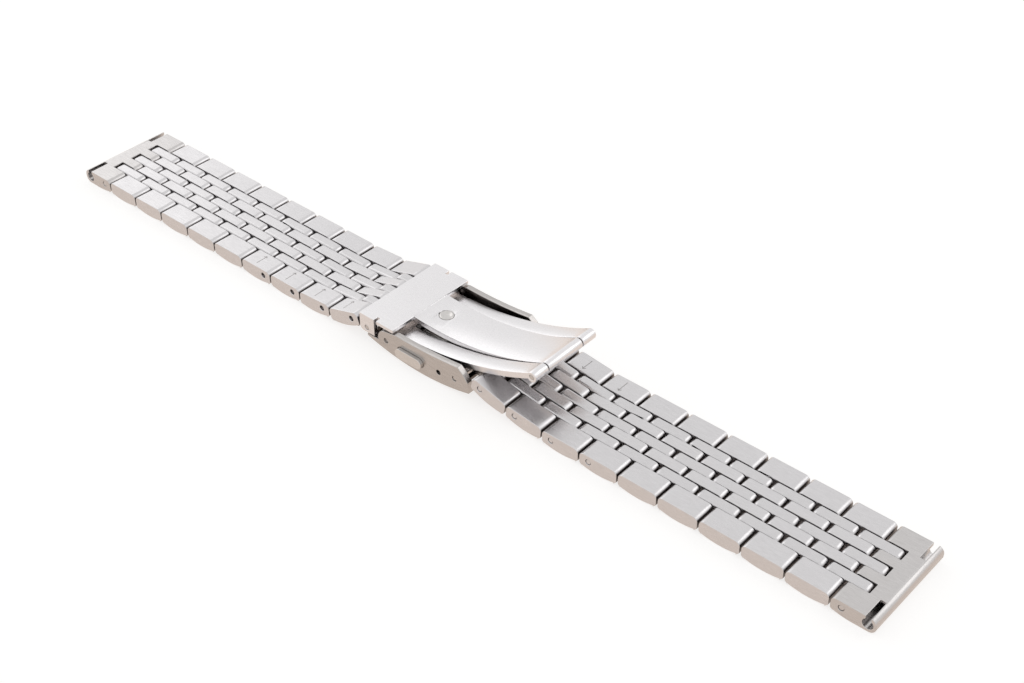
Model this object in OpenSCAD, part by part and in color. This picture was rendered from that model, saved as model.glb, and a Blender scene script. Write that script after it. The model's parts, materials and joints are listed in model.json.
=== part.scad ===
// Beads of rice watch bracelet with a folding clasp, laid out flat with its
// wrist side up. X runs along the bracelet, Y across it and Z up from the
// table. The origin is on the table, midway between the two case ends.
// Left is the half on the clasp's blade, right is the half on its cover.

/* [Strap] */
// width of the bracelet
strap_w = 20; // [18:0.5:24]
// distance from one link to the next
link_pitch = 8.1; // [7.8:0.1:9]
// thickness of a link at its middle
link_t = 3; // [2.9:0.05:3.2]
// gap between the ends of neighbouring links
end_gap = 0.3; // [0.25:0.01:0.4]
// width of an outer link
outer_w = 4.27; // [4.1:0.01:4.5]
// gap between neighbouring rows
row_gap = 0.12; // [0.08:0.01:0.15]
// height of the curve on a link's outer face
link_bow = 0.55; // [0.4:0.05:0.6]
// radius on a link's ends, wrist side
link_end_r = 0.9; // [0.7:0.05:1]
// radius on a link's ends, outer side
link_foot_r = 0.5; // [0.45:0.05:0.6]
// links with a wrist-side plate above them drop by these angles
left_drops = [17.5, 5, 3.7]; // [0:0.1:20]
// links beside the cover drop by these angles
right_drops = [15, 8.4, 6, 4.7]; // [0:0.1:16]

/* [Pins] */
// diameter of the link pins
pin_d = 1.05; // [0.9:0.05:1.2]
// height of the pins above a link's outer face
pin_h = 1.65; // [1.55:0.01:1.7]
// radial clearance of a bead that turns on its pin
pin_fit = 0.05; // [0.03:0.01:0.08]
// radial clearance of a pin in the piece that holds it
pin_grip = 0.015; // [0.01:0.005:0.02]
// metal left over the end of a fixed pin
pin_cover = 0.8; // [0.5:0.1:2]
// depth of the push-out pins' ends on the left half
left_pin_inset = 0.85; // [0.4:0.05:1]
// depth of the push-out pins' ends on the right half
right_pin_inset = 0.06; // [0.02:0.02:0.3]
// bevel on the end of a push-out pin
pin_bevel = 0.12; // [0.05:0.01:0.25]
// links on each half whose clasp-side pin pushes out
push_links = 4; // [1:1:6]

/* [Case ends] */
// length of the end piece past its gap
end_len = 8.1; // [7.6:0.1:9]
// diameter of the bore for the watch's spring bar
case_bore_d = 1.9; // [1.6:0.1:2]
// width of the notch for the spring bar tool
notch_w = 1; // [0.6:0.1:1.2]
// rise of the end piece's flat outer face over the links' lowest line
end_rise = 0.04; // [0.03:0.01:0.1]
// radius of the rounding along the lip that meets the case
lip_edge_r = 1.3; // [1.2:0.05:1.4]
// length past its middle of the end piece's bowed part
end_join = 1.6; // [1.4:0.1:1.8]
// length of the slots for the rice beads past the pin
end_slot = 2.15; // [2.1:0.05:2.3]

/* [Cover] */
// left tip of the cover's base
cover_left = -11.6; // [-11.8:0.1:-11.3]
// right end of the cover
cover_right = 13.5; // [13:0.1:13.6]
// where the cover's base is lowest
cover_low_x = 1.3; // [1:0.1:2]
// radius of the cover's curved outer face
cover_r = 45.5; // [44:0.5:48]
// thickness of the cover's base
base_t = 0.7; // [0.6:0.05:0.75]
// thickness of the cover's walls
wall_t = 1.2; // [1:0.05:1.2]
// height of the base's tongue under a lug
tongue_z = 2.3; // [2.2:0.05:2.35]
// left end of the base between the lugs
base_left = -9.3; // [-9.4:0.1:-9]
// right end of the base between the walls
base_right = 10.5; // [9:0.1:10.6]
// width of the base left beside its cut-backs
cutback_rim = 1.7; // [1.4:0.1:1.9]
// radius of the walls' rounded ends round the pivot
wall_nose_r = 2; // [1.8:0.1:2.1]
// lowest height of the walls' top edges
wall_top_z = 5.35; // [5.2:0.05:5.4]
// where the walls' top edges are lowest
wall_top_x = -1.4; // [-3:0.1:0]
// radius of the walls' curved top edges
wall_top_r = 89; // [80:1:120]
// slope of the walls' top edges over the pivot
nose_slope = 10; // [8:1:12]
// height of that slope's end over the lowest top edge
wall_crest = 0.1; // [0.05:0.05:0.15]
// start of the bevelled corner at the walls' right ends
wall_corner_x = 10.6; // [10:0.1:11]
// height of the bevelled corner's start over the lowest top edge
wall_corner_rise = 0.85; // [0.7:0.05:1]
// length of the bevelled corner
wall_bevel_run = 1.3; // [1:0.1:1.5]
// depth of the bevelled corner's end below the lowest top edge
wall_bevel_drop = 0.2; // [0.1:0.05:0.3]
// lean of the walls' right ends
wall_end_run = 0.5; // [0.3:0.1:0.7]
// height over the pivot where that lean ends
wall_end_rise = 0.9; // [0.7:0.1:1.1]
// distance of the two adjust holes from each other
adjust_step = 3.8; // [3.5:0.1:4.2]
// diameter of the adjust holes
adjust_d = 1; // [0.9:0.05:1.1]

/* [Pivots] */
// position of the fork's pivot in the cover, along
pivot_x = -6.87; // [-7:0.01:-6.8]
// position of the fork's pivot in the cover, up
pivot_z = 2.91; // [2.85:0.01:3]
// diameter of the pivot pin and the blade hinge pin
hinge_pin_d = 1; // [0.8:0.05:1.1]
// depth of the pivot pin's ends in the walls
pivot_pin_inset = 0.35; // [0.1:0.05:0.5]
// position of the blade hinge, along
hinge_x = 25.76; // [25.5:0.01:26]
// position of the blade hinge, up
hinge_z = 10.92; // [10.8:0.01:11.1]
// radius of the blade hinge's barrel
hinge_barrel_r = 1; // [0.9:0.05:1.1]
// radius of the fork's barrel on the pivot
pivot_barrel_r = 1.2; // [1.1:0.05:1.25]

/* [Fork] */
// gap between a wall and a fork leg
fork_inset = 0.8; // [0.7:0.05:1]
// width of a fork leg
fork_leg_w = 3.4; // [3.2:0.05:3.45]
// gap between a wall and the fork's barrel
fork_side_gap = 0.2; // [0.1:0.05:0.4]
// thickness of the fork
fork_t = 1.2; // [1:0.05:1.2]
// rise of the fork's wrist curve over its barrel where it is level
fork_rise = 0.04; // [0.02:0.01:0.1]
// where the fork's curve is level
fork_low_x = -5.46; // [-5.6:0.01:-5]
// right end of the bar that joins the legs
fork_bar_x = -4.6; // [-5:0.1:-4.4]

/* [Centre blade] */
// gap between the centre blade and a fork leg
blade_gap = 0.2; // [0.18:0.01:0.4]
// thickness of the centre blade
blade_t = 1.1; // [0.9:0.05:1.2]
// dip of the centre blade's curve below the plate's wrist side
blade_dip = 0.35; // [0.3:0.05:0.5]
// where the centre blade's curve is level
blade_low_x = 0.5; // [0.3:0.1:0.8]
// height of the plate's wrist side
plate_z = 6.2; // [6.15:0.01:6.3]
// thickness of the plate
plate_t = 0.75; // [0.6:0.05:0.78]
// right edge of the plate
plate_right = -5; // [-5.2:0.1:-4.8]
// thickness of a folded lug
lug_t = 1; // [0.8:0.05:1.1]
// distance from the lug pin to a lug's left side
lug_left = 1.75; // [1.6:0.05:1.8]
// distance from the lug pin to a lug's right side
lug_right = 1.9; // [1.7:0.05:2]
// depth of a lug below its pin
lug_drop = 1.02; // [0.95:0.01:1.05]
// radius on a lug's lower left corner
lug_r = 1; // [0.7:0.05:1.1]
// width of the relief notch beside a lug
relief_w = 0.6; // [0.4:0.05:0.8]
// depth of the relief notch beside a lug
relief_d = 1.15; // [1.1:0.05:1.3]

/* [Latch] */
// position of the buttons and the catch stud, along
latch_x = -1.15; // [-1.3:0.05:-1]
// height of the buttons' middle
button_z = 2.3; // [2.2:0.05:2.35]
// distance of the buttons' middle from the stud
button_shift = 0.3; // [0.1:0.05:0.5]
// length of a push button
button_len = 6.4; // [6:0.1:7.4]
// height of a push button
button_h = 2.1; // [2:0.05:2.3]
// distance a button stands out of the wall
button_proud = 0.7; // [0.65:0.05:0.9]
// distance a button is pressed in
button_travel = 0.6; // [0.5:0.05:0.6]
// clearance round a button in its slot
button_fit = 0.05; // [0.03:0.01:0.1]
// length of a button's flange behind the wall
flange_len = 8.5; // [8.3:0.1:8.6]
// top of a button's flange
flange_top = 2.8; // [2.7:0.05:2.82]
// thickness of a button's flange
flange_t = 0.6; // [0.5:0.05:0.6]
// diameter of the catch stud
stud_d = 2.4; // [2:0.1:2.5]
// diameter of the stud's riveted head
stud_head_d = 2.8; // [2.6:0.1:3]
// depth of the stud's head below the blade's wrist side
stud_inset = 0.08; // [0.04:0.01:0.15]
// height of the stud's lower end
stud_bottom = 0.95; // [0.9:0.05:1]
// clearance between the stud and the catch edges
catch_fit = 0.05; // [0.03:0.01:0.1]
// thickness of a catch plate
catch_t = 0.55; // [0.45:0.05:0.55]
// length of a catch plate along the bracelet
catch_len = 5.8; // [5.4:0.1:5.8]
// room for the stud to swing out of the catch plates
catch_swing = 0.6; // [0.5:0.05:0.7]
// width of the bar across a catch plate's far end
catch_bar = 1.3; // [1:0.1:1.6]
// height of the lower catch plate
catch_z = 1.1; // [1.08:0.01:1.15]
// gap between the two catch plates
catch_gap = 0.1; // [0.06:0.01:0.12]
// thickness of the two guide rails
rail_t = 1.2; // [1.05:0.05:1.2]
// room for a button spring between the rails and a flange
spring_room = 2.25; // [2.15:0.05:2.5]
// height of the guide rails
rail_top = 2.6; // [2.4:0.05:2.7]
// radius of a button spring
button_spring_r = 0.55; // [0.5:0.05:0.6]
// wire size of a button spring
button_spring_wire = 0.2; // [0.15:0.01:0.25]
// turns in a button spring
button_spring_turns = 4; // [3:1:6]

/* [Spring bar] */
// position of the spring bar in the cover, along
bar_x = 9.8; // [9.6:0.05:9.9]
// span from the spring bar to the first link's pin
cover_bead_span = 6; // [5.9:0.05:6.1]
// rise of the beads on the spring bar
cover_bead_rise = 8.7; // [8.5:0.1:9]
// diameter of the spring bar's tube
bar_d = 1.5; // [1.4:0.05:1.6]
// diameter of the spring bar's tips
bar_tip_d = 0.9; // [0.8:0.05:0.92]
// radial clearance of the tips in the tube
bar_tip_fit = 0.05; // [0.03:0.01:0.08]
// depth of the tips' ends in the walls
bar_tip_inset = 0.2; // [0.1:0.05:0.4]
// length of a tip inside the tube
bar_tip_grip = 2.6; // [2:0.1:4]
// gap between the tube and the walls
bar_side_gap = 0.1; // [0.05:0.05:0.3]
// turns in the spring bar's spring
bar_spring_turns = 9; // [6:1:12]
// wire size of the spring bar's spring
bar_spring_wire = 0.15; // [0.1:0.01:0.2]

/* [Hidden] */
$fn = 64;
links = 10;
spans = 2 * links - 1;
pin_pitch = link_pitch / 2;
pin_to_end = pin_pitch / 2 - end_gap / 2;
rows = 5;
bead_w = (strap_w - 2 * outer_w - (rows + 1) * row_gap) / rows;
row_pitch = bead_w + row_gap;
half_w = strap_w / 2;
wall_in = half_w - wall_t;
// past every edge of the part that is being cut
beyond = 30;
// overlap that joins two shapes of one piece
lap = 0.05;
spring_sides = 16;
spring_steps = 12;
// share of a spring's turn that is metal
wire_arc = 165;

// Drop angle and length of each span between pins, counted from the clasp
left_drop = [for (i = [0:spans]) i == 0 ? 0 : i <= len(left_drops) ? left_drops[i - 1] : 0];
right_drop = [for (i = [0:spans]) i == 0 ? -cover_bead_rise
                                : i <= len(right_drops) ? right_drops[i - 1] : 0];
left_span = [for (i = [0:spans - 1]) pin_pitch];
right_span = [for (i = [0:spans - 1]) i == 0 ? cover_bead_span : pin_pitch];

function run(span, drop, n) = n == 0 ? 0 : run(span, drop, n - 1) + span[n - 1] * cos(drop[n - 1]);
function fall(span, drop, n) = n == 0 ? 0 : fall(span, drop, n - 1) + span[n - 1] * sin(drop[n - 1]);

// Ends of the bracelet and the two places where the halves hang on the clasp
case_reach = end_len - pin_pitch / 2;
lip_r = (link_t - end_rise) / 2;
right_end = bar_x + run(right_span, right_drop, spans) + case_reach;
lug_x = run(left_span, left_drop, spans) + case_reach - right_end;
lug_z = pin_h + fall(left_span, left_drop, spans);
bar_z = pin_h + fall(right_span, right_drop, spans);
lug_inner = half_w - lug_t;

// Widths in the clasp, each from the middle
fork_half_w = wall_in - fork_inset;
fork_inner = fork_half_w - fork_leg_w;
fork_barrel_half_w = wall_in - fork_side_gap;
blade_half_w = fork_inner - blade_gap;
cutback_y = wall_in - cutback_rim;

// Radius of the curve that is level at a point and runs into the blade
// hinge's barrel just under its top
hinge_seat = hinge_barrel_r - lap;
function curve_r(low_x, low_z) =
    (pow(hinge_x - low_x, 2) + pow(hinge_z - low_z, 2) - pow(hinge_seat, 2))
    / (2 * (hinge_z + hinge_seat - low_z));
fork_low_z = pivot_z + pivot_barrel_r + fork_rise;
fork_r = curve_r(fork_low_x, fork_low_z);
fork_centre_z = fork_low_z + fork_r;
blade_low_z = plate_z - blade_dip;
blade_r = curve_r(blade_low_x, blade_low_z);
blade_centre_z = blade_low_z + blade_r;
stud_seat = blade_centre_z - sqrt(blade_r * blade_r - pow(latch_x - blade_low_x, 2));
fork_end_angle = atan2(hinge_x - fork_low_x, fork_centre_z - hinge_z);
blade_end_angle = atan2(hinge_x - blade_low_x, blade_centre_z - hinge_z);

button_in = wall_in - lap;
rail_half_len = button_in - flange_t - spring_room;
catch_half = stud_d / 2 + catch_fit;
catch_far = catch_half + catch_bar;
catch_room = catch_half + button_travel + catch_fit;
rail_x = catch_len / 2 + lap + rail_t / 2;
bar_tube_half = wall_in - bar_side_gap;
bar_tip_out = half_w - bar_tip_inset;
bar_tip_in = bar_tube_half - bar_tip_grip;

// A slab cut from a side view, standing across the bracelet round y_mid
module slab(y_mid, w) {
    translate([0, y_mid + w / 2, 0])
        rotate([90, 0, 0])
            linear_extrude(w)
                children();
}

// A rod across the bracelet
module rod(d, w) {
    rotate([90, 0, 0])
        cylinder(d = d, h = w, center = true);
}

// Carries a piece to pin number i of a half, with x pointing at the case end
module on_left(i) {
    translate([lug_x - run(left_span, left_drop, i), 0, lug_z - fall(left_span, left_drop, i)])
        mirror([1, 0, 0])
            rotate([0, left_drop[i], 0])
                children();
}

module on_right(i) {
    translate([bar_x + run(right_span, right_drop, i), 0, bar_z - fall(right_span, right_drop, i)])
        rotate([0, right_drop[i], 0])
            children();
}

// Side view of a link or bead whose two pins are span apart, from its first
// pin. One without its right end stops end_join past its middle.
module link_side(span, right_end = true) {
    half = span / 2 + pin_to_end;
    bow_r = round(50 * (half * half + link_bow * link_bow) / link_bow) / 100;
    foot_x = half - link_foot_r;
    foot_z = bow_r - sqrt(pow(bow_r - link_foot_r, 2) - foot_x * foot_x);
    bow_x = foot_x * bow_r / (bow_r - link_foot_r) - lap;
    top_x = half - link_end_r;
    translate([span / 2, -pin_h]) {
        intersection() {
            translate([0, bow_r])
                circle(bow_r, $fn = 256);
            translate([-bow_x, 0])
                square([bow_x + (right_end ? bow_x : end_join), foot_z + lap]);
        }
        for (s = right_end ? [-1, 1] : [-1]) {
            translate([s * foot_x, foot_z])
                circle(link_foot_r);
            translate([s * top_x, link_t - link_end_r])
                circle(link_end_r);
        }
        translate([-half, foot_z])
            square([half + (right_end ? half : end_join), link_t - link_end_r - foot_z]);
        translate([-top_x, link_t / 2])
            square([top_x + (right_end ? top_x : end_join), link_t / 2]);
    }
}

// Three rice beads side by side, turning on the pins at both ends
module beads(span, first_d) {
    difference() {
        for (row = [-2, 0, 2])
            slab(row * row_pitch, bead_w)
                link_side(span);
        rod(first_d + 2 * pin_fit, strap_w);
        translate([span, 0, 0])
            rod(pin_d + 2 * pin_fit, strap_w);
    }
}

// A pin that pushes out, bevelled at both ends
module push_pin(inset) {
    reach = half_w - inset;
    for (s = [0, 1])
        mirror([0, s, 0])
            rotate([90, 0, 0]) {
                cylinder(d = pin_d, h = reach - pin_bevel);
                translate([0, 0, reach - pin_bevel])
                    cylinder(d1 = pin_d, d2 = pin_d - 2 * pin_bevel, h = pin_bevel);
            }
}

// A pin closed in by the outer links
module fixed_pin() {
    rod(pin_d, strap_w - 2 * pin_cover - 2 * pin_grip);
}

module fixed_pin_bore() {
    rod(pin_d + 2 * pin_grip, strap_w - 2 * pin_cover);
}

module push_pin_bore() {
    rod(pin_d + 2 * pin_grip, strap_w + 2);
}

// Two outer links, two rice beads between them, and the pins that hold them
module link(pushes, inset) {
    difference() {
        union() {
            for (s = [-1, 1]) {
                slab(s * (half_w - outer_w / 2), outer_w)
                    link_side(pin_pitch);
                slab(s * row_pitch, bead_w)
                    link_side(pin_pitch);
            }
        }
        if (pushes)
            push_pin_bore();
        else
            fixed_pin_bore();
        translate([pin_pitch, 0, 0])
            fixed_pin_bore();
    }
    if (pushes)
        push_pin(inset);
    else
        fixed_pin();
    translate([pin_pitch, 0, 0])
        fixed_pin();
}

// Side view of the case-end piece, from its pin
module end_side() {
    link_side(pin_pitch, false);
    translate([end_slot, end_rise - pin_h]) {
        square([case_reach - lip_edge_r - end_slot, 2 * lip_r]);
        translate([0, lip_edge_r])
            square([case_reach - end_slot, 2 * lip_r - 2 * lip_edge_r]);
        for (z = [lip_edge_r, 2 * lip_r - lip_edge_r])
            translate([case_reach - lip_edge_r - end_slot, z])
                circle(lip_edge_r);
    }
}

// Case-end piece: slots for the last beads, spring bar bore and tool notches
module end_piece(inset) {
    bore_x = case_reach - lip_r;
    bore_z = end_rise + lip_r - pin_h;
    slot_w = bead_w + 2 * row_gap;
    difference() {
        slab(0, strap_w)
            end_side();
        for (row = [-2, 0, 2])
            translate([end_slot - beyond, row * row_pitch - slot_w / 2, -beyond])
                cube([beyond, slot_w, 2 * beyond]);
        translate([bore_x, 0, bore_z])
            rod(case_bore_d, strap_w + 2);
        for (s = [0, 1])
            mirror([0, s, 0])
                translate([bore_x - notch_w / 2, half_w - outer_w, bore_z])
                    cube([notch_w, outer_w + 1, link_t]);
        push_pin_bore();
    }
    push_pin(inset);
}

module left_end_piece() {
    color("silver")
        on_left(spans)
            end_piece(right_pin_inset);
}

module right_end_piece() {
    color("silver")
        on_right(spans)
            end_piece(right_pin_inset);
}

// Left link and bead numbers count from the case, right ones from the cover
module left_link(n) {
    color("silver")
        on_left(2 * (links - n) + 1)
            link(n > links - push_links, left_pin_inset);
}

module left_beads(n) {
    color("lightgray")
        on_left(2 * (links - n))
            beads(pin_pitch, pin_d);
}

module right_link(n) {
    color("silver")
        on_right(2 * n - 1)
            link(n <= push_links, right_pin_inset);
}

module right_beads(n) {
    color("lightgray")
        on_right(2 * n - 2)
            beads(right_span[2 * n - 2], n == 1 ? bar_d : pin_d);
}

module left_link_2() { left_link(2); }
module left_link_3() { left_link(3); }
module left_link_4() { left_link(4); }
module left_link_5() { left_link(5); }
module left_link_6() { left_link(6); }
module left_link_7() { left_link(7); }
module left_link_8() { left_link(8); }
module left_link_9() { left_link(9); }
module left_link_10() { left_link(10); }
module left_beads_1() { left_beads(1); }
module left_beads_2() { left_beads(2); }
module left_beads_3() { left_beads(3); }
module left_beads_4() { left_beads(4); }
module left_beads_5() { left_beads(5); }
module left_beads_6() { left_beads(6); }
module left_beads_7() { left_beads(7); }
module left_beads_8() { left_beads(8); }
module left_beads_9() { left_beads(9); }
module left_beads_10() { left_beads(10); }
module right_beads_1() { right_beads(1); }
module right_beads_2() { right_beads(2); }
module right_beads_3() { right_beads(3); }
module right_beads_4() { right_beads(4); }
module right_beads_5() { right_beads(5); }
module right_beads_6() { right_beads(6); }
module right_beads_7() { right_beads(7); }
module right_beads_8() { right_beads(8); }
module right_beads_9() { right_beads(9); }
module right_beads_10() { right_beads(10); }
module right_link_1() { right_link(1); }
module right_link_2() { right_link(2); }
module right_link_3() { right_link(3); }
module right_link_4() { right_link(4); }
module right_link_5() { right_link(5); }
module right_link_6() { right_link(6); }
module right_link_7() { right_link(7); }
module right_link_8() { right_link(8); }
module right_link_9() { right_link(9); }

// Everything above the cover's outer face, or above a height over that face
module above_cover(rise) {
    translate([cover_low_x, cover_r])
        circle(cover_r - rise, $fn = 512);
}

// Side view of the cover's walls and of the base's tongue under the lugs
module cover_side() {
    nose_x = pivot_x - wall_nose_r * sin(nose_slope);
    nose_z = pivot_z + wall_nose_r * cos(nose_slope);
    crest_z = wall_top_z + wall_crest;
    crest_x = nose_x + (crest_z - nose_z) / tan(nose_slope);
    intersection() {
        above_cover(0);
        union() {
            difference() {
                polygon([
                    [pivot_x - wall_nose_r, -1], [pivot_x - wall_nose_r, pivot_z],
                    [nose_x, nose_z], [crest_x, crest_z], [crest_x, beyond],
                    [wall_corner_x, beyond], [wall_corner_x, wall_top_z + wall_corner_rise],
                    [wall_corner_x + wall_bevel_run, wall_top_z - wall_bevel_drop],
                    [cover_right - wall_end_run, pivot_z + wall_end_rise], [cover_right, -1]]);
                translate([wall_top_x, wall_top_z + wall_top_r])
                    circle(wall_top_r, $fn = 512);
            }
            translate([pivot_x, pivot_z])
                circle(wall_nose_r);
            translate([cover_left, -1])
                square([pivot_x - cover_left, tongue_z + 1]);
        }
    }
}

// A slot's outline with round ends, centred on the buttons
module button_outline(extra) {
    r = button_h / 2 + extra;
    reach = button_len / 2 - button_h / 2;
    translate([latch_x + button_shift, button_z]) {
        for (s = [-1, 1])
            translate([s * reach, 0])
                circle(r);
        translate([-reach, -r])
            square([2 * reach, 2 * r]);
    }
}

// Folded channel that the whole clasp closes into
module cover() {
    color("gainsboro")
        difference() {
            slab(0, strap_w)
                cover_side();
            slab(0, 2 * wall_in)
                intersection() {
                    above_cover(base_t);
                    translate([-beyond, -1])
                        square([2 * beyond, beyond]);
                }
            translate([base_left - beyond, -cutback_y, -1])
                cube([beyond, 2 * cutback_y, beyond]);
            translate([base_right, -cutback_y, -1])
                cube([beyond, 2 * cutback_y, beyond]);
            slab(0, strap_w + 2)
                button_outline(button_fit);
            translate([pivot_x, 0, pivot_z])
                rod(hinge_pin_d + 2 * pin_grip, strap_w + 2);
            translate([bar_x, 0, bar_z])
                rod(adjust_d, strap_w + 2);
            translate([bar_x - adjust_step, 0, bar_z - adjust_step * sin(cover_bead_rise)])
                rod(adjust_d, strap_w + 2);
        }
}

module pivot_pin() {
    color("dimgray")
        translate([pivot_x, 0, pivot_z])
            rod(hinge_pin_d, strap_w - 2 * pivot_pin_inset);
}

// Two rails on the base that guide the catch plates and back the springs
module guide_rails() {
    color("gray")
        for (s = [-1, 1])
            slab(0, 2 * rail_half_len)
                intersection() {
                    above_cover(base_t + pin_grip);
                    translate([latch_x + s * rail_x - rail_t / 2, 0])
                        square([rail_t, rail_top]);
                }
}

// Push button: cap in the wall's slot and flange behind the wall
module button() {
    cap_w = half_w + button_proud - button_in + lap;
    slab(-button_in - cap_w / 2 + lap, cap_w)
        button_outline(0);
    slab(-button_in + flange_t / 2, flange_t)
        intersection() {
            above_cover(base_t + button_fit);
            translate([latch_x - flange_len / 2, 0])
                square([flange_len, flange_top]);
        }
}

// Catch plate on the near button: its window's far edge holds the stud
module catch_plate(z) {
    near_end = button_in - flange_t;
    translate([0, 0, z])
        difference() {
            translate([latch_x - catch_len / 2, -near_end, 0])
                cube([catch_len, near_end + catch_far, catch_t]);
            translate([latch_x - catch_half - catch_swing, -catch_room, -1])
                cube([2 * catch_half + catch_swing + catch_fit, catch_room + catch_half, catch_t + 2]);
        }
}

module near_button() {
    color("white")
        button();
}

module far_button() {
    color("white")
        mirror([0, 1, 0])
            button();
}

module near_catch() {
    color("gray")
        catch_plate(catch_z);
}

module far_catch() {
    color("gray")
        mirror([0, 1, 0])
            catch_plate(catch_z + catch_t + catch_gap);
}

// A wire spring wound along z, open at the bottom
module spring(r, wire, turns, h) {
    linear_extrude(h, twist = 360 * turns, slices = turns * spring_steps, $fn = spring_sides)
        intersection() {
            difference() {
                circle(r, $fn = spring_sides);
                circle(r - wire, $fn = spring_sides);
            }
            polygon([[0, 0], [2 * r, 0], [2 * r, 2 * r], [-2 * r, 2 * r],
                     [2 * r * cos(wire_arc), 2 * r * sin(wire_arc)]]);
        }
}

module button_spring() {
    gap = pin_grip;
    h = button_in - flange_t - rail_half_len - 2 * gap;
    translate([latch_x + rail_x, -rail_half_len - gap, catch_z + button_spring_r])
        rotate([90, 0, 0])
            spring(button_spring_r, button_spring_wire, button_spring_turns, h);
}

module near_button_spring() {
    color("dimgray")
        button_spring();
}

module far_button_spring() {
    color("dimgray")
        mirror([0, 1, 0])
            button_spring();
}

module spring_bar_tube() {
    color("silver")
        translate([bar_x, 0, bar_z])
            difference() {
                rod(bar_d, 2 * bar_tube_half);
                rod(bar_tip_d + 2 * bar_tip_fit, strap_w);
            }
}

module spring_bar_spring() {
    h = 2 * (bar_tip_in - pin_grip);
    color("dimgray")
        translate([bar_x, h / 2, bar_z])
            rotate([90, 0, 0])
                spring(bar_tip_d / 2, bar_spring_wire, bar_spring_turns, h);
}

module spring_bar_tip() {
    translate([bar_x, -(bar_tip_in + bar_tip_out) / 2, bar_z])
        rod(bar_tip_d, bar_tip_out - bar_tip_in);
}

module near_spring_bar_tip() {
    color("dimgray")
        spring_bar_tip();
}

module far_spring_bar_tip() {
    color("dimgray")
        mirror([0, 1, 0])
            spring_bar_tip();
}

// Side view of a curved blade that ends in the barrel of the blade hinge
module blade_side(r, low_x, centre_z, end_angle, start_x, t) {
    intersection() {
        translate([low_x, centre_z])
            difference() {
                circle(r + t, $fn = 512);
                circle(r, $fn = 512);
            }
        translate([low_x, centre_z])
            rotate(end_angle)
                translate([-2 * r, -2 * r])
                    square([2 * r, 2 * r]);
        translate([start_x, -beyond])
            square([2 * beyond, 2 * beyond]);
    }
    translate([hinge_x, hinge_z])
        circle(hinge_barrel_r);
}

// Forked blade: a barrel on the cover's pivot and two legs to the blade hinge
module fork() {
    color("lightgray")
        difference() {
            union() {
                slab(0, 2 * fork_half_w)
                    blade_side(fork_r, fork_low_x, fork_centre_z, fork_end_angle, pivot_x, fork_t);
                translate([pivot_x, 0, pivot_z])
                    rod(2 * pivot_barrel_r, 2 * fork_barrel_half_w);
            }
            translate([fork_bar_x, -fork_inner, -beyond])
                cube([2 * beyond, 2 * fork_inner, 3 * beyond]);
            translate([pivot_x, 0, pivot_z])
                rod(hinge_pin_d + 2 * pin_fit, strap_w);
            translate([hinge_x, 0, hinge_z])
                rod(hinge_pin_d + 2 * pin_grip, strap_w);
        }
}

module blade_hinge_pin() {
    color("dimgray")
        translate([hinge_x, 0, hinge_z])
            rod(hinge_pin_d, 2 * fork_half_w - 2 * pin_grip);
}

// Side view of a lug folded down from the plate
module lug_side() {
    translate([lug_x, lug_z]) {
        translate([lug_r - lug_left, lug_r - lug_drop])
            circle(lug_r);
        translate([lug_r - lug_left, -lug_drop])
            square([lug_left - lug_r + lug_right, plate_z - lug_z + lug_drop]);
        translate([-lug_left, lug_r - lug_drop])
            square([lug_r, plate_z - lug_z + lug_drop - lug_r]);
    }
}

// Centre blade in one piece with the wide plate and its two lugs
module centre_blade() {
    plate_left = lug_x - lug_left;
    color("whitesmoke")
        difference() {
            union() {
                slab(0, 2 * blade_half_w)
                    blade_side(blade_r, blade_low_x, blade_centre_z, blade_end_angle,
                               plate_right - lap, blade_t);
                translate([plate_left, -half_w, plate_z - plate_t])
                    cube([plate_right - plate_left, strap_w, plate_t]);
                for (s = [-1, 1])
                    slab(s * (half_w - lug_t / 2), lug_t)
                        lug_side();
            }
            for (s = [0, 1])
                mirror([0, s, 0])
                    translate([lug_x + lug_right, half_w - relief_d, -beyond])
                        cube([relief_w, relief_d + 1, 2 * beyond]);
            translate([lug_x, 0, lug_z])
                rod(pin_d + 2 * pin_grip, strap_w + 2);
            translate([hinge_x, 0, hinge_z])
                rod(hinge_pin_d + 2 * pin_fit, strap_w);
            translate([latch_x, 0, 0])
                cylinder(d = stud_d + 2 * pin_grip, h = beyond);
            translate([latch_x, 0, stud_seat - blade_t / 2])
                cylinder(d = stud_head_d + 2 * pin_grip, h = beyond);
        }
}

// Stud that the two catch plates hold, with its riveted head in the blade
module catch_stud() {
    head_z = stud_seat - blade_t / 2 + pin_grip;
    color("silver")
        translate([latch_x, 0, 0]) {
            translate([0, 0, stud_bottom])
                cylinder(d = stud_d, h = head_z - stud_bottom + lap);
            translate([0, 0, head_z])
                cylinder(d = stud_head_d, h = stud_seat - stud_inset - head_z);
        }
}

module lug_pin() {
    color("dimgray")
        translate([lug_x, 0, lug_z])
            push_pin(right_pin_inset);
}

left_end_piece();
left_link_2();
left_link_3();
left_link_4();
left_link_5();
left_link_6();
left_link_7();
left_link_8();
left_link_9();
left_link_10();
left_beads_1();
left_beads_2();
left_beads_3();
left_beads_4();
left_beads_5();
left_beads_6();
left_beads_7();
left_beads_8();
left_beads_9();
left_beads_10();
right_beads_1();
right_beads_2();
right_beads_3();
right_beads_4();
right_beads_5();
right_beads_6();
right_beads_7();
right_beads_8();
right_beads_9();
right_beads_10();
right_link_1();
right_link_2();
right_link_3();
right_link_4();
right_link_5();
right_link_6();
right_link_7();
right_link_8();
right_link_9();
right_end_piece();
cover();
pivot_pin();
guide_rails();
near_button();
far_button();
near_catch();
far_catch();
near_button_spring();
far_button_spring();
spring_bar_tube();
spring_bar_spring();
near_spring_bar_tip();
far_spring_bar_tip();
fork();
blade_hinge_pin();
centre_blade();
catch_stud();
lug_pin();
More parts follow.
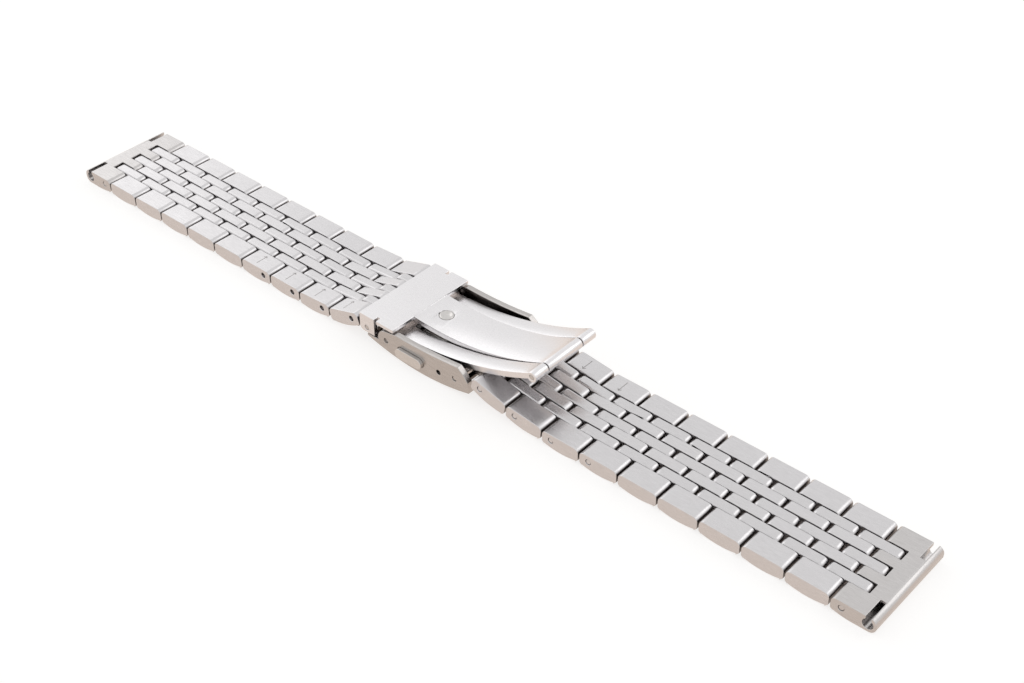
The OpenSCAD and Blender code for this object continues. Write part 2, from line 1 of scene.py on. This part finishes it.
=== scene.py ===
# Beads of rice watch bracelet in stainless steel, laid out flat with its
# clasp folded: finishes, assembly marks, camera, floor and soft light.
import json
import math

import bmesh
import bpy
from mathutils import Matrix, Vector

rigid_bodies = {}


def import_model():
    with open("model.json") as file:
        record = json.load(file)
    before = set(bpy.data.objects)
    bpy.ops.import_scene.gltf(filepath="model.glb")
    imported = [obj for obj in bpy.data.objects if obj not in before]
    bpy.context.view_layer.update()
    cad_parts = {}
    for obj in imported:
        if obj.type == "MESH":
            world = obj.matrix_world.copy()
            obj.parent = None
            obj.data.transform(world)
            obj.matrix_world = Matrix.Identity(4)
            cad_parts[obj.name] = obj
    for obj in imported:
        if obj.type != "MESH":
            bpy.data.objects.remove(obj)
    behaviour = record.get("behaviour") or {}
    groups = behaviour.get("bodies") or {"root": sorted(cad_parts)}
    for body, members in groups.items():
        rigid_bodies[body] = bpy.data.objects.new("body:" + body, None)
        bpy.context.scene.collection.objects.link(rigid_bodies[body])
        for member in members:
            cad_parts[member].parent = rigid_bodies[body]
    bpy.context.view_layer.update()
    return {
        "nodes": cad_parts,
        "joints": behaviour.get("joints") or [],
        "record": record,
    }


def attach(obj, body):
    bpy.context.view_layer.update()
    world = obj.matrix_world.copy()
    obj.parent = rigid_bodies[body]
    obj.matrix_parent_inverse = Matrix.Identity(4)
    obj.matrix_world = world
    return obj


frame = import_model()

MM = 0.001
nodes = frame["nodes"]
body_of = {node: body
           for body, held in frame["record"]["behaviour"]["bodies"].items()
           for node in held}


# Colours and nodes

def linear(hex_colour):
    """An sRGB hex colour as the linear values that a shader takes."""
    parts = [int(hex_colour[i:i + 2], 16) / 255 for i in (1, 3, 5)]
    return tuple(part / 12.92 if part <= 0.04045
                 else ((part + 0.055) / 1.055) ** 2.4 for part in parts) + (1.0,)


def add(tree, kind, inputs=None, **settings):
    """Adds a node; an input is a value, or a socket to link from."""
    node = tree.nodes.new(kind)
    for name, value in settings.items():
        setattr(node, name, value)
    for name, value in (inputs or {}).items():
        if isinstance(value, bpy.types.NodeSocket):
            tree.links.new(value, node.inputs[name])
        else:
            node.inputs[name].default_value = value
    return node


def empty_material(name):
    """A new material, and its tree with no nodes yet."""
    material = bpy.data.materials.new(name)
    material.use_nodes = True
    material.node_tree.nodes.clear()
    return material, material.node_tree


# Masks of painted shade: faces in the gaps between links and in the cover's
# channel, where shade falls

def painted_gap_shade(tree, coords):
    """The faces across the strap, which lie in the gaps between links, for
    painted shade.
    """
    none_below, all_above = 0.80, 0.99
    facing = add(tree, "ShaderNodeSeparateXYZ", {
        "Vector": coords.outputs["Normal"]})
    along_strap = add(tree, "ShaderNodeMath", {0: facing.outputs["X"]},
                      operation="ABSOLUTE")
    ends = add(tree, "ShaderNodeMapRange", {
        "Value": along_strap.outputs["Value"],
        "From Min": none_below, "From Max": all_above})
    return ends.outputs["Result"]


def painted_channel_shade(tree, coords):
    """The inner faces of the cover's walls and base: all that lies between
    the walls and doesn't look down, for painted shade in the channel."""
    half_channel, soft_from, soft_to = 8.8 * MM, 0.02 * MM, 0.06 * MM
    down_below, up_above = -0.5, -0.3
    place = add(tree, "ShaderNodeSeparateXYZ", {
        "Vector": coords.outputs["Object"]})
    facing = add(tree, "ShaderNodeSeparateXYZ", {
        "Vector": coords.outputs["Normal"]})
    aside = add(tree, "ShaderNodeMath", {0: place.outputs["Y"]},
                operation="ABSOLUTE")
    outer = add(tree, "ShaderNodeMapRange", {
        "Value": aside.outputs["Value"],
        "From Min": half_channel + soft_from, "From Max": half_channel + soft_to})
    upward = add(tree, "ShaderNodeMapRange", {
        "Value": facing.outputs["Z"],
        "From Min": down_below, "From Max": up_above})
    between = add(tree, "ShaderNodeMath", {0: 1.0, 1: outer.outputs["Result"]},
                  operation="SUBTRACT")
    inside = add(tree, "ShaderNodeMath", {
        0: between.outputs["Value"], 1: upward.outputs["Result"]},
        operation="MULTIPLY")
    return inside.outputs["Value"]


# Finishes. Real brush marks are 0.02 to 0.05 mm wide, which is too fine to show
# in the render, so they are drawn about 0.1 mm wide.

NOISE_LOW, NOISE_HIGH = 0.3, 0.7   # nearly all of a noise's values lie between


def brushed(name, colour, shade, roughness, line, run, depth, patch=6.0,
            painted_shade=None, painted_shade_part=None):
    """Stainless steel brushed along the strap, its marks between two tones and
    the darker ones rougher. line and run are the width and length of a brush
    mark, depth its depth, patch the size of the uneven areas that a belt
    leaves, all in millimetres. painted_shade is the colour of painted shade on
    the faces in gaps and recesses that painted_shade_part finds."""
    mark_change, patch_change = 0.05, 0.03
    material, tree = empty_material(name)
    coords = add(tree, "ShaderNodeTexCoord")
    place = coords.outputs["Object"]
    along = add(tree, "ShaderNodeMapping", {
        "Vector": place,
        "Scale": (1 / (run * MM), 1 / (line * MM), 1 / (line * MM))})
    marks = add(tree, "ShaderNodeTexNoise", {
        "Vector": along.outputs["Vector"], "Scale": 1.0, "Detail": 3.0,
        "Roughness": 0.65})
    areas = add(tree, "ShaderNodeTexNoise", {
        "Vector": place, "Scale": 1 / (patch * MM), "Detail": 2.0})
    mark_tone = add(tree, "ShaderNodeMapRange", {
        "Value": marks.outputs["Fac"],
        "From Min": NOISE_LOW, "From Max": NOISE_HIGH})
    tone = add(tree, "ShaderNodeMix", {
        0: mark_tone.outputs["Result"],
        6: linear(shade), 7: linear(colour)}, data_type="RGBA")
    mark_rough = add(tree, "ShaderNodeMapRange", {
        "Value": marks.outputs["Fac"],
        "From Min": NOISE_LOW, "From Max": NOISE_HIGH,
        "To Min": roughness + mark_change, "To Max": roughness - mark_change})
    uneven = add(tree, "ShaderNodeMapRange", {
        "Value": areas.outputs["Fac"],
        "From Min": NOISE_LOW, "From Max": NOISE_HIGH,
        "To Min": -patch_change, "To Max": patch_change})
    rough = add(tree, "ShaderNodeMath", {
        0: mark_rough.outputs["Result"], 1: uneven.outputs["Result"]},
        operation="ADD")
    if painted_shade:
        tone = add(tree, "ShaderNodeMix", {
            0: painted_shade_part(tree, coords),
            6: tone.outputs[2], 7: linear(painted_shade)}, data_type="RGBA")
    relief = add(tree, "ShaderNodeBump", {
        "Strength": 1.0, "Distance": depth * MM,
        "Height": marks.outputs["Fac"]})
    shader = add(tree, "ShaderNodeBsdfPrincipled", {
        "Base Color": tone.outputs[2], "Metallic": 1.0,
        "Roughness": rough.outputs["Value"],
        "Normal": relief.outputs["Normal"]})
    add(tree, "ShaderNodeOutputMaterial", {"Surface": shader.outputs["BSDF"]})
    return material


# Links: belt-brushed 316L, a soft satin that keeps a broad highlight, with
# painted shade, a dark grey, on the ends that lie in the gaps between links.
GAP_SHADE_GREY = "#6d6663"
LINK_STEEL = brushed("belt_brushed_steel", "#d6d4d5", "#c8c6c7",
                     roughness=0.30, line=0.11, run=1.6, depth=0.0012,
                     painted_shade=GAP_SHADE_GREY, painted_shade_part=painted_gap_shade)
# Case ends: the same belt-brushed steel, worked over all their faces.
END_STEEL = brushed("brushed_case_end_steel", "#ccc9c8", "#bcb9b8",
                    roughness=0.30, line=0.11, run=1.8, depth=0.0012)
# Rice beads: the same steel, tumbled after brushing, so a little smoother,
# with the same painted shade on their ends in the gaps between links.
BEAD_STEEL = brushed("tumbled_bead_steel", "#d4d2d3", "#c6c4c5",
                     roughness=0.27, line=0.12, run=1.1, depth=0.0012,
                     painted_shade=GAP_SHADE_GREY, painted_shade_part=painted_gap_shade)
# Clasp cover: pressed from sheet and brushed outside before it was folded,
# with painted shade, a dark grey, in its channel between the walls.
COVER_STEEL = brushed("brushed_cover_steel", "#c3bfbd", "#aca8a5",
                      roughness=0.26, line=0.10, run=3.0, depth=0.0012,
                      painted_shade="#625c59", painted_shade_part=painted_channel_shade)
# Blades: cold-rolled spring strip, brighter than the links, with the fine and
# shallow marks of rolling.
BLADE_STEEL = brushed("rolled_blade_steel", "#e6e4e5", "#dcdadb",
                      roughness=0.28, line=0.10, run=2.5, depth=0.0006,
                      patch=9.0)
# Buttons and catches: fine-blanked and barrel-polished, almost bright.
BUTTON_STEEL = brushed("barrel_polished_steel", "#d2cfcd", "#c4c1be",
                       roughness=0.20, line=0.12, run=0.9, depth=0.001)
# Pins and tubes: drawn wire, turned smooth.
PIN_STEEL = brushed("drawn_pin_steel", "#c9c5c3", "#b3afac",
                    roughness=0.24, line=0.12, run=0.5, depth=0.001)
# Springs: hard-drawn wire with its grey drawing skin.
SPRING_STEEL = brushed("spring_wire_steel", "#b4b0ad", "#9a9592",
                       roughness=0.32, line=0.10, run=0.6, depth=0.001)
# Assembly marks: etched a few hundredths deep, which leaves a dull grey line.
ETCHED = brushed("etched_mark_steel", "#8f8b89", "#7d7977",
                 roughness=0.55, line=0.10, run=0.2, depth=0.002)


# CAD nodes: finish and edge rounding

def finish_of(node):
    """A node's steel, and the width of its edge rounding in millimetres."""
    if "beads" in node:
        return BEAD_STEEL, 0.42
    if "link" in node:
        return LINK_STEEL, 0.13
    if "end_piece" in node:
        return END_STEEL, 0.10
    if node == "cover":
        return COVER_STEEL, 0.12
    if node in ("fork", "centre_blade"):
        return BLADE_STEEL, 0.12
    if node.endswith("_spring"):
        return SPRING_STEEL, 0
    if "button" in node or "catch" in node or node == "guide_rails":
        return BUTTON_STEEL, 0.08
    return PIN_STEEL, 0.06


def dress(node):
    """Gives a node its steel, joins its split corners and flat faces, and
    rounds its real edges but not the facets of its curves."""
    same_point, flat, sharp = 0.0005 * MM, math.radians(0.5), math.radians(38)
    piece = nodes[node]
    steel, edge = finish_of(node)
    piece.data.materials.clear()
    piece.data.materials.append(steel)
    weld = piece.modifiers.new("weld", "WELD")
    weld.merge_threshold = same_point
    if edge:
        flats = piece.modifiers.new("flats", "DECIMATE")
        flats.decimate_type = "DISSOLVE"
        flats.angle_limit = flat
        rounding = piece.modifiers.new("edges", "BEVEL")
        rounding.width = edge * MM
        rounding.segments = 3
        rounding.limit_method = "ANGLE"
        rounding.angle_limit = sharp
        rounding.use_clamp_overlap = False
        rounding.miter_outer = "MITER_ARC"


for node in nodes:
    dress(node)


# Assembly marks: arrows that show which way the link pins push out

LINK_HALF = 1.35                   # from the pin line up to a link's face
ARROW_TAIL, ARROW_TIP = 9.2, 6.5   # from the middle of the strap
hinges = [joint for joint in frame["joints"] if joint["type"] == "hinge"]
own_pin = {hinge["child"]: Vector(hinge["pos_m"]) for hinge in hinges}
next_pin = {hinge["parent"]: Vector(hinge["pos_m"]) for hinge in hinges}


def on_link(link, along, across, up):
    """A point on a link: along it from its own pin towards the next one,
    across the strap, and up from the pin line, in millimetres."""
    ahead = (next_pin[link] - own_pin[link]).normalized()
    upward = Vector((-ahead.z, 0, ahead.x)) * math.copysign(1, ahead.x)
    offset = ahead * along + Vector((0, across, 0)) + upward * up
    return own_pin[link] + offset * MM


def arrow_mark(name, link, along, tail, tip):
    """An arrow etched across an outer link, from tail to tip, as three
    strokes with their ends cut square."""
    half_stroke, proud, sunk = 0.055, 0.008, 0.03
    barb_along, barb_back = 0.4, math.copysign(0.45, tail - tip)
    shape = bmesh.new()
    for start in ((along, tail),
                  (along - barb_along, tip + barb_back),
                  (along + barb_along, tip + barb_back)):
        start, end = Vector(start), Vector((along, tip))
        run = end - start
        aside = Vector((-run.y, run.x)).normalized() * half_stroke
        rim = (start + aside, start - aside, end - aside, end + aside)
        top = [shape.verts.new(on_link(link, *corner, LINK_HALF + proud))
               for corner in rim]
        low = [shape.verts.new(on_link(link, *corner, LINK_HALF - sunk))
               for corner in rim]
        shape.faces.new(top)
        shape.faces.new(low[::-1])
        for i in range(4):
            j = (i + 1) % 4
            shape.faces.new((top[i], low[i], low[j], top[j]))
    bmesh.ops.recalc_face_normals(shape, faces=shape.faces)
    mesh = bpy.data.meshes.new(name)
    shape.to_mesh(mesh)
    shape.free()
    mesh.materials.append(ETCHED)
    mark = bpy.data.objects.new(name, mesh)
    bpy.context.scene.collection.objects.link(mark)
    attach(mark, body_of[link])


for number in (7, 8, 9, 10):
    arrow_mark(f"left_arrow_{number}", f"left_link_{number}",
               2.5, -ARROW_TAIL, -ARROW_TIP)
for number in (1, 2, 3):
    arrow_mark(f"right_arrow_{number}", f"right_link_{number}",
               1.4, ARROW_TAIL, ARROW_TIP)


# Catch stud: the head that the rivet press leaves, flat inside a round rim

def riveted_head(name, node, steel, rim):
    """A turned cap on the top of a node's stud. rim is the height of its
    round edge in millimetres."""
    steps, same_height, lift = 64, 0.01 * MM, 0.03
    corners = [vertex.co for vertex in nodes[node].data.vertices]
    top = max(corner.z for corner in corners)
    face_x = [corner.x for corner in corners if corner.z > top - same_height]
    middle_x = (min(face_x) + max(face_x)) / 2
    radius = (max(face_x) - min(face_x)) / 2
    # Each ring's share of the radius, and its height over the flat middle
    profile = [(0.35, 0.0), (0.55, rim * 0.2), (0.68, rim * 0.8), (0.78, rim),
               (0.88, rim * 0.8), (0.96, rim * 0.2), (0.985, -0.06)]
    shape = bmesh.new()
    rings = []
    for share, rise in profile:
        rings.append([shape.verts.new((
            middle_x + radius * share * math.cos(2 * math.pi * i / steps),
            radius * share * math.sin(2 * math.pi * i / steps),
            top + (rise + lift) * MM)) for i in range(steps)])
    centre = shape.verts.new((middle_x, 0, top + lift * MM))
    for i in range(steps):
        j = (i + 1) % steps
        shape.faces.new((centre, rings[0][i], rings[0][j]))
        for inner, outer in zip(rings, rings[1:]):
            shape.faces.new((inner[i], outer[i], outer[j], inner[j]))
    underside = shape.faces.new(rings[-1][::-1])
    bmesh.ops.recalc_face_normals(shape, faces=shape.faces)
    for face in shape.faces:
        face.smooth = face != underside
    mesh = bpy.data.meshes.new(name)
    shape.to_mesh(mesh)
    shape.free()
    mesh.materials.append(steel)
    cap = bpy.data.objects.new(name, mesh)
    bpy.context.scene.collection.objects.link(cap)
    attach(cap, body_of[node])


riveted_head("stud_head", "catch_stud", BUTTON_STEEL, rim=0.15)


# Floor, light and camera

def floor_material():
    """Matt pale card: it holds the soft shadow, and reads as white to the eye
    and as warm white in the steel."""
    white_to_eye, white_strength = 0.5, 1.42
    warm_to_steel, warm_strength = 0.85, 1.1
    material, tree = empty_material("pale_card")
    path = add(tree, "ShaderNodeLightPath")
    card = add(tree, "ShaderNodeBsdfDiffuse", {"Color": linear("#f4f1ee")})
    white = add(tree, "ShaderNodeEmission", {
        "Color": (1.0, 1.0, 1.0, 1.0), "Strength": white_strength})
    warm = add(tree, "ShaderNodeEmission", {
        "Color": linear("#f8eadf"), "Strength": warm_strength})
    looks = add(tree, "ShaderNodeMath", {
        0: path.outputs["Is Camera Ray"], 1: white_to_eye},
        operation="MULTIPLY")
    mirrored = add(tree, "ShaderNodeMath", {
        0: path.outputs["Is Glossy Ray"],
        1: path.outputs["Is Transmission Ray"]}, operation="MAXIMUM")
    share = add(tree, "ShaderNodeMath", {
        0: mirrored.outputs["Value"], 1: warm_to_steel,
        2: looks.outputs["Value"]}, operation="MULTIPLY_ADD")
    seen = add(tree, "ShaderNodeMixShader", {
        "Fac": path.outputs["Is Camera Ray"],
        1: warm.outputs["Emission"], 2: white.outputs["Emission"]})
    both = add(tree, "ShaderNodeMixShader", {
        "Fac": share.outputs["Value"],
        1: card.outputs["BSDF"], 2: seen.outputs["Shader"]})
    add(tree, "ShaderNodeOutputMaterial", {"Surface": both.outputs["Shader"]})
    return material


def floor():
    """A plain square, 8 m wide, just under the bracelet."""
    half_width, gap = 4.0, 0.01 * MM
    shape = bmesh.new()
    bmesh.ops.create_grid(shape, x_segments=1, y_segments=1, size=half_width)
    mesh = bpy.data.meshes.new("floor")
    shape.to_mesh(mesh)
    shape.free()
    ground = bpy.data.objects.new("floor", mesh)
    ground.location.z = -gap
    mesh.materials.append(floor_material())
    bpy.context.scene.collection.objects.link(ground)


def world():
    """White all round to the eye and in the steel, and dimmer as a light, so
    that the soft boxes still model the shapes."""
    as_light, as_seen = 0.6, 1.0
    sky = bpy.data.worlds.new("white_studio")
    sky.use_nodes = True
    tree = sky.node_tree
    tree.nodes.clear()
    path = add(tree, "ShaderNodeLightPath")
    looks = add(tree, "ShaderNodeMath", {
        0: path.outputs["Is Camera Ray"], 1: path.outputs["Is Glossy Ray"]},
        operation="MAXIMUM")
    seen = add(tree, "ShaderNodeMath", {
        0: looks.outputs["Value"], 1: path.outputs["Is Transmission Ray"]},
        operation="MAXIMUM")
    strength = add(tree, "ShaderNodeMapRange", {
        "Value": seen.outputs["Value"], "To Min": as_light, "To Max": as_seen})
    light = add(tree, "ShaderNodeBackground", {
        "Color": (1.0, 1.0, 1.0, 1.0),
        "Strength": strength.outputs["Result"]})
    add(tree, "ShaderNodeOutputWorld", {"Surface": light.outputs["Background"]})
    bpy.context.scene.world = sky


def soft_box(name, azimuth, elevation, away, width, height, brightness):
    """A rectangular soft box that faces the bracelet, placed in degrees and
    metres. brightness is how bright its face looks, where white card is 1."""
    data = bpy.data.lights.new(name, "AREA")
    data.shape = "RECTANGLE"
    data.size, data.size_y = width, height
    data.energy = brightness * math.pi * width * height
    lamp = bpy.data.objects.new(name, data)
    around, above = math.radians(azimuth), math.radians(elevation)
    towards = Vector((math.sin(around) * math.cos(above),
                      math.cos(around) * math.cos(above), math.sin(above)))
    lamp.location = towards * away
    lamp.rotation_mode = "QUATERNION"
    lamp.rotation_quaternion = towards.to_track_quat("Z", "Y")
    lamp.visible_camera = False
    bpy.context.scene.collection.objects.link(lamp)


def camera():
    """Where the photograph was taken from: millimetres, degrees, and a focal
    length in pixels of a frame 1024 wide."""
    focal, frame_width = 1605.7, 1024
    place = Vector((159.06, -164.46, 181.92)) * MM
    azimuth, elevation, roll = (math.radians(angle)
                                for angle in (-41.32, 38.47, -0.18))
    look = Vector((math.sin(azimuth) * math.cos(elevation),
                   math.cos(azimuth) * math.cos(elevation),
                   -math.sin(elevation)))
    level = Vector((math.cos(azimuth), -math.sin(azimuth), 0))
    rise = level.cross(look)
    right = math.cos(roll) * level + math.sin(roll) * rise
    up = -math.sin(roll) * level + math.cos(roll) * rise
    data = bpy.data.cameras.new("camera")
    data.sensor_width = 36.0
    data.lens = data.sensor_width * focal / frame_width
    data.clip_start, data.clip_end = 0.01, 20.0
    viewer = bpy.data.objects.new("camera", data)
    turn = Matrix((right, up, -look)).transposed()
    viewer.matrix_world = Matrix.Translation(place) @ turn.to_4x4()
    bpy.context.scene.collection.objects.link(viewer)
    bpy.context.scene.camera = viewer


floor()
world()
soft_box("window_box", azimuth=-88, elevation=25, away=1.0,
         width=1.1, height=1.0, brightness=0.5)
soft_box("end_box", azimuth=42, elevation=36, away=0.9,
         width=0.5, height=0.5, brightness=0.8)
camera()
bpy.context.scene.view_settings.view_transform = "Standard"
